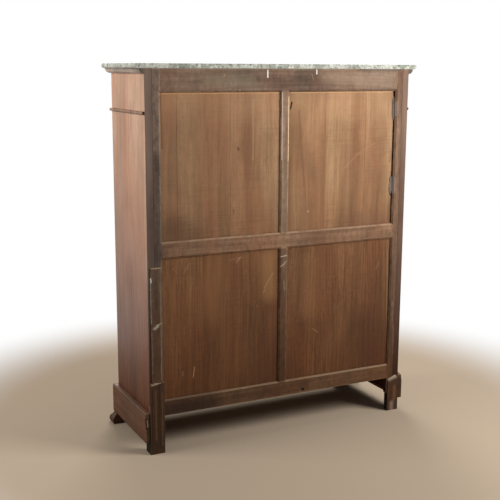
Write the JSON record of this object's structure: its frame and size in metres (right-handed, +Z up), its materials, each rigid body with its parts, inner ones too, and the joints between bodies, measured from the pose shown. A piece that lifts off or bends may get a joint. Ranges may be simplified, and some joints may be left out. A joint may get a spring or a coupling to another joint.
{
  "type": "semainier chest",
  "caption": "Tall chest with stacked sliding drawers, loose marble top, framed and panelled back, plinth and ogee front feet.",
  "frame": {"origin": "on the floor, under the middle of the bounding box", "axes": "+Z up; -Y towards the front, the way the drawers open; +X to the chest's right"},
  "size_m": [1.236, 0.4242, 1.5],
  "materials": {
    "marble": "mottled grey-green and cream marble, honed",
    "polished_walnut": "polished reddish-brown walnut, worn",
    "plinth_walnut": "dark, dull polish, scuffed",
    "bare_oak_frame": "bare, dirty grey-brown oak",
    "bare_oak_panel": "bare, warm brown oak",
    "drawer_wood": "bare, pale brown, aged",
    "turned_knobs": "turned and polished, dark"
  },
  "bodies": {
    "carcass": {"marble_top": "marble", "cornice_front": "polished_walnut", "cornice_left": "polished_walnut", "cornice_right": "polished_walnut", "astragal_front": "polished_walnut", "astragal_left": "polished_walnut", "astragal_right": "polished_walnut", "side_left": "polished_walnut", "side_right": "polished_walnut", "plinth_front": "plinth_walnut", "plinth_left": "plinth_walnut", "plinth_right": "plinth_walnut", "front_foot_left": "plinth_walnut", "front_foot_right": "plinth_walnut", "rear_post_left": "bare_oak_frame", "rear_post_right": "bare_oak_frame", "rear_leg_left": "bare_oak_frame", "rear_leg_right": "bare_oak_frame", "back_rail_top": "bare_oak_frame", "back_rail_middle": "bare_oak_frame", "back_rail_bottom": "bare_oak_frame", "back_muntin_upper": "bare_oak_frame", "back_muntin_lower": "bare_oak_frame", "back_panel_upper_left": "bare_oak_panel", "back_panel_upper_right": "bare_oak_panel", "back_panel_lower_left": "bare_oak_panel", "back_panel_lower_right": "bare_oak_panel", "divider_1": "drawer_wood", "divider_2": "drawer_wood", "divider_3": "drawer_wood", "divider_4": "drawer_wood", "divider_5": "drawer_wood", "divider_6": "drawer_wood", "bottom_board": "drawer_wood"},
    "drawer_1": {"drawer_1_front": "polished_walnut", "drawer_1_tray": "drawer_wood"},
    "drawer_2": {"drawer_2_front": "polished_walnut", "drawer_2_tray": "drawer_wood", "drawer_2_knob_left": "turned_knobs", "drawer_2_knob_right": "turned_knobs"},
    "drawer_3": {"drawer_3_front": "polished_walnut", "drawer_3_tray": "drawer_wood", "drawer_3_knob_left": "turned_knobs", "drawer_3_knob_right": "turned_knobs"},
    "drawer_4": {"drawer_4_front": "polished_walnut", "drawer_4_tray": "drawer_wood", "drawer_4_knob_left": "turned_knobs", "drawer_4_knob_right": "turned_knobs"},
    "drawer_5": {"drawer_5_front": "polished_walnut", "drawer_5_tray": "drawer_wood", "drawer_5_knob_left": "turned_knobs", "drawer_5_knob_right": "turned_knobs"},
    "drawer_6": {"drawer_6_front": "polished_walnut", "drawer_6_tray": "drawer_wood", "drawer_6_knob_left": "turned_knobs", "drawer_6_knob_right": "turned_knobs"},
    "drawer_7": {"drawer_7_front": "polished_walnut", "drawer_7_tray": "drawer_wood", "drawer_7_knob_left": "turned_knobs", "drawer_7_knob_right": "turned_knobs"}
  },
  "joints": [
    {"name": "drawer_1_slide", "type": "slide", "parent": "carcass", "child": "drawer_1", "axis": [0, -1, 0], "range_m": [0, 0.25]},
    {"name": "drawer_2_slide", "type": "slide", "parent": "carcass", "child": "drawer_2", "axis": [0, -1, 0], "range_m": [0, 0.25]},
    {"name": "drawer_3_slide", "type": "slide", "parent": "carcass", "child": "drawer_3", "axis": [0, -1, 0], "range_m": [0, 0.25]},
    {"name": "drawer_4_slide", "type": "slide", "parent": "carcass", "child": "drawer_4", "axis": [0, -1, 0], "range_m": [0, 0.25]},
    {"name": "drawer_5_slide", "type": "slide", "parent": "carcass", "child": "drawer_5", "axis": [0, -1, 0], "range_m": [0, 0.25]},
    {"name": "drawer_6_slide", "type": "slide", "parent": "carcass", "child": "drawer_6", "axis": [0, -1, 0], "range_m": [0, 0.25]},
    {"name": "drawer_7_slide", "type": "slide", "parent": "carcass", "child": "drawer_7", "axis": [0, -1, 0], "range_m": [0, 0.25]}
  ]
}
